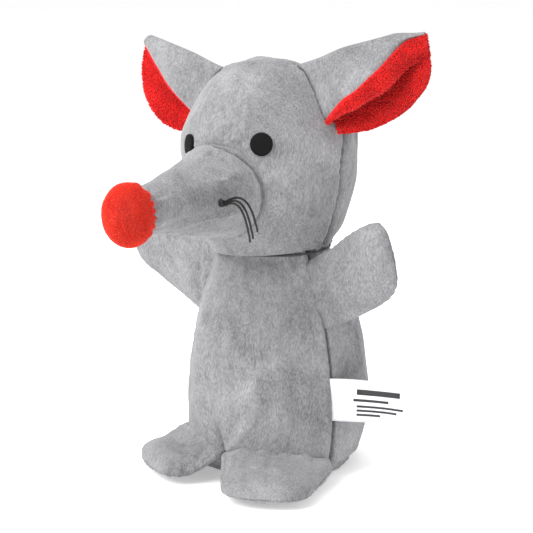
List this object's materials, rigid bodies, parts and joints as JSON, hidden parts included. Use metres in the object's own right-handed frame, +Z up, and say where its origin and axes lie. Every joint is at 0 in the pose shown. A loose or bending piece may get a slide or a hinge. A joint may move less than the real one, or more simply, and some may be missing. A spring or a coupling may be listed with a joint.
{
  "type": "plush mouse toy",
  "caption": "Stuffed plush mouse standing on a flat round base, with a long snout and ball nose, folded lined ears, mitten arms, pad feet and a side label.",
  "frame": {"origin": "middle of the flat base on the floor, on the body's axis", "axes": "+Z up along the body's axis, the face and snout towards -Y, the toy's left side towards +X"},
  "size_m": [0.1766, 0.1755, 0.2315],
  "materials": {
    "grey_plush": "short-pile plush with a mottled nap",
    "white_fibre": "polyester fibre filling",
    "red_plush": "short-pile plush, red",
    "red_felt": "brushed knit, orange red",
    "black_thread": "black embroidery and waxed thread",
    "grey_thread": "sewing thread",
    "white_satin": "white satin tape"
  },
  "bodies": {
    "torso": {"body_front_panel": "grey_plush", "body_back_left_panel": "grey_plush", "body_back_right_panel": "grey_plush", "body_base_panel": "grey_plush", "body_stuffing": "white_fibre"},
    "neck": {"neck_thread": "grey_thread"},
    "head": {"face_panel": "grey_plush", "head_back_left_panel": "grey_plush", "head_back_right_panel": "grey_plush", "muzzle_panel": "grey_plush", "head_stuffing": "white_fibre", "muzzle_stuffing": "white_fibre", "nose_cap": "red_felt", "nose_stuffing": "white_fibre", "eye_left": "black_thread", "eye_right": "black_thread", "whisker_knot_left": "black_thread", "whisker_knot_right": "black_thread", "whisker_left_1": "black_thread", "whisker_left_2": "black_thread", "whisker_left_3": "black_thread", "whisker_right_1": "black_thread", "whisker_right_2": "black_thread", "whisker_right_3": "black_thread"},
    "ear_left": {"ear_left_outer": "grey_plush", "ear_left_lining": "red_plush"},
    "arm_left": {"arm_left_front_panel": "grey_plush", "arm_left_back_panel": "grey_plush", "arm_left_stuffing": "white_fibre"},
    "foot_left": {"foot_left_top_panel": "grey_plush", "foot_left_sole_panel": "grey_plush", "foot_left_stuffing": "white_fibre"},
    "ear_right": {"ear_right_outer": "grey_plush", "ear_right_lining": "red_plush"},
    "arm_right": {"arm_right_front_panel": "grey_plush", "arm_right_back_panel": "grey_plush", "arm_right_stuffing": "white_fibre"},
    "foot_right": {"foot_right_top_panel": "grey_plush", "foot_right_sole_panel": "grey_plush", "foot_right_stuffing": "white_fibre"},
    "label": {"label": "white_satin"}
  },
  "joints": [
    {"name": "head_turn", "type": "hinge", "parent": "torso", "child": "neck", "pos_m": [0, 0, 0.099], "axis": [0, 0, 1], "range_deg": [-15, 15], "stiffness_Nm_per_rad": 0.5},
    {"name": "head_nod", "type": "hinge", "parent": "neck", "child": "head", "pos_m": [0, 0, 0.099], "axis": [0.996, -0.0174, 0.0872], "range_deg": [-14, 9], "stiffness_Nm_per_rad": 0.8},
    {"name": "ear_left_fold", "type": "hinge", "parent": "head", "child": "ear_left", "pos_m": [0.02798, 0.00301, 0.1958], "axis": [0.61, -0.037, -0.7915], "range_deg": [-15, 15], "stiffness_Nm_per_rad": 0.06},
    {"name": "ear_right_fold", "type": "hinge", "parent": "head", "child": "ear_right", "pos_m": [-0.04424, 0.00427, 0.18948], "axis": [-0.4642, -0.0182, -0.8855], "range_deg": [-15, 15], "stiffness_Nm_per_rad": 0.06},
    {"name": "arm_left_swing", "type": "hinge", "parent": "torso", "child": "arm_left", "pos_m": [0.03574, -0.01161, 0.093], "axis": [-0.5446, 0, 0.8387], "range_deg": [-25, 15], "stiffness_Nm_per_rad": 0.08},
    {"name": "arm_right_swing", "type": "hinge", "parent": "torso", "child": "arm_right", "pos_m": [-0.03574, -0.01161, 0.093], "axis": [0.2588, 0, 0.9659], "range_deg": [-15, 25], "stiffness_Nm_per_rad": 0.08},
    {"name": "foot_left_lift", "type": "hinge", "parent": "torso", "child": "foot_left", "pos_m": [0.02578, -0.0397, 0.01715], "axis": [-0.8387, -0.5446, 0], "range_deg": [0, 27], "stiffness_Nm_per_rad": 0.05},
    {"name": "foot_right_lift", "type": "hinge", "parent": "torso", "child": "foot_right", "pos_m": [-0.02578, -0.0397, 0.01715], "axis": [-0.8387, 0.5446, 0], "range_deg": [0, 27], "stiffness_Nm_per_rad": 0.05},
    {"name": "label_flap", "type": "hinge", "parent": "torso", "child": "label", "pos_m": [0.04601, -0.01495, 0.043], "axis": [0, 0, 1], "range_deg": [-40, 35], "stiffness_Nm_per_rad": 0.0012}
  ]
}
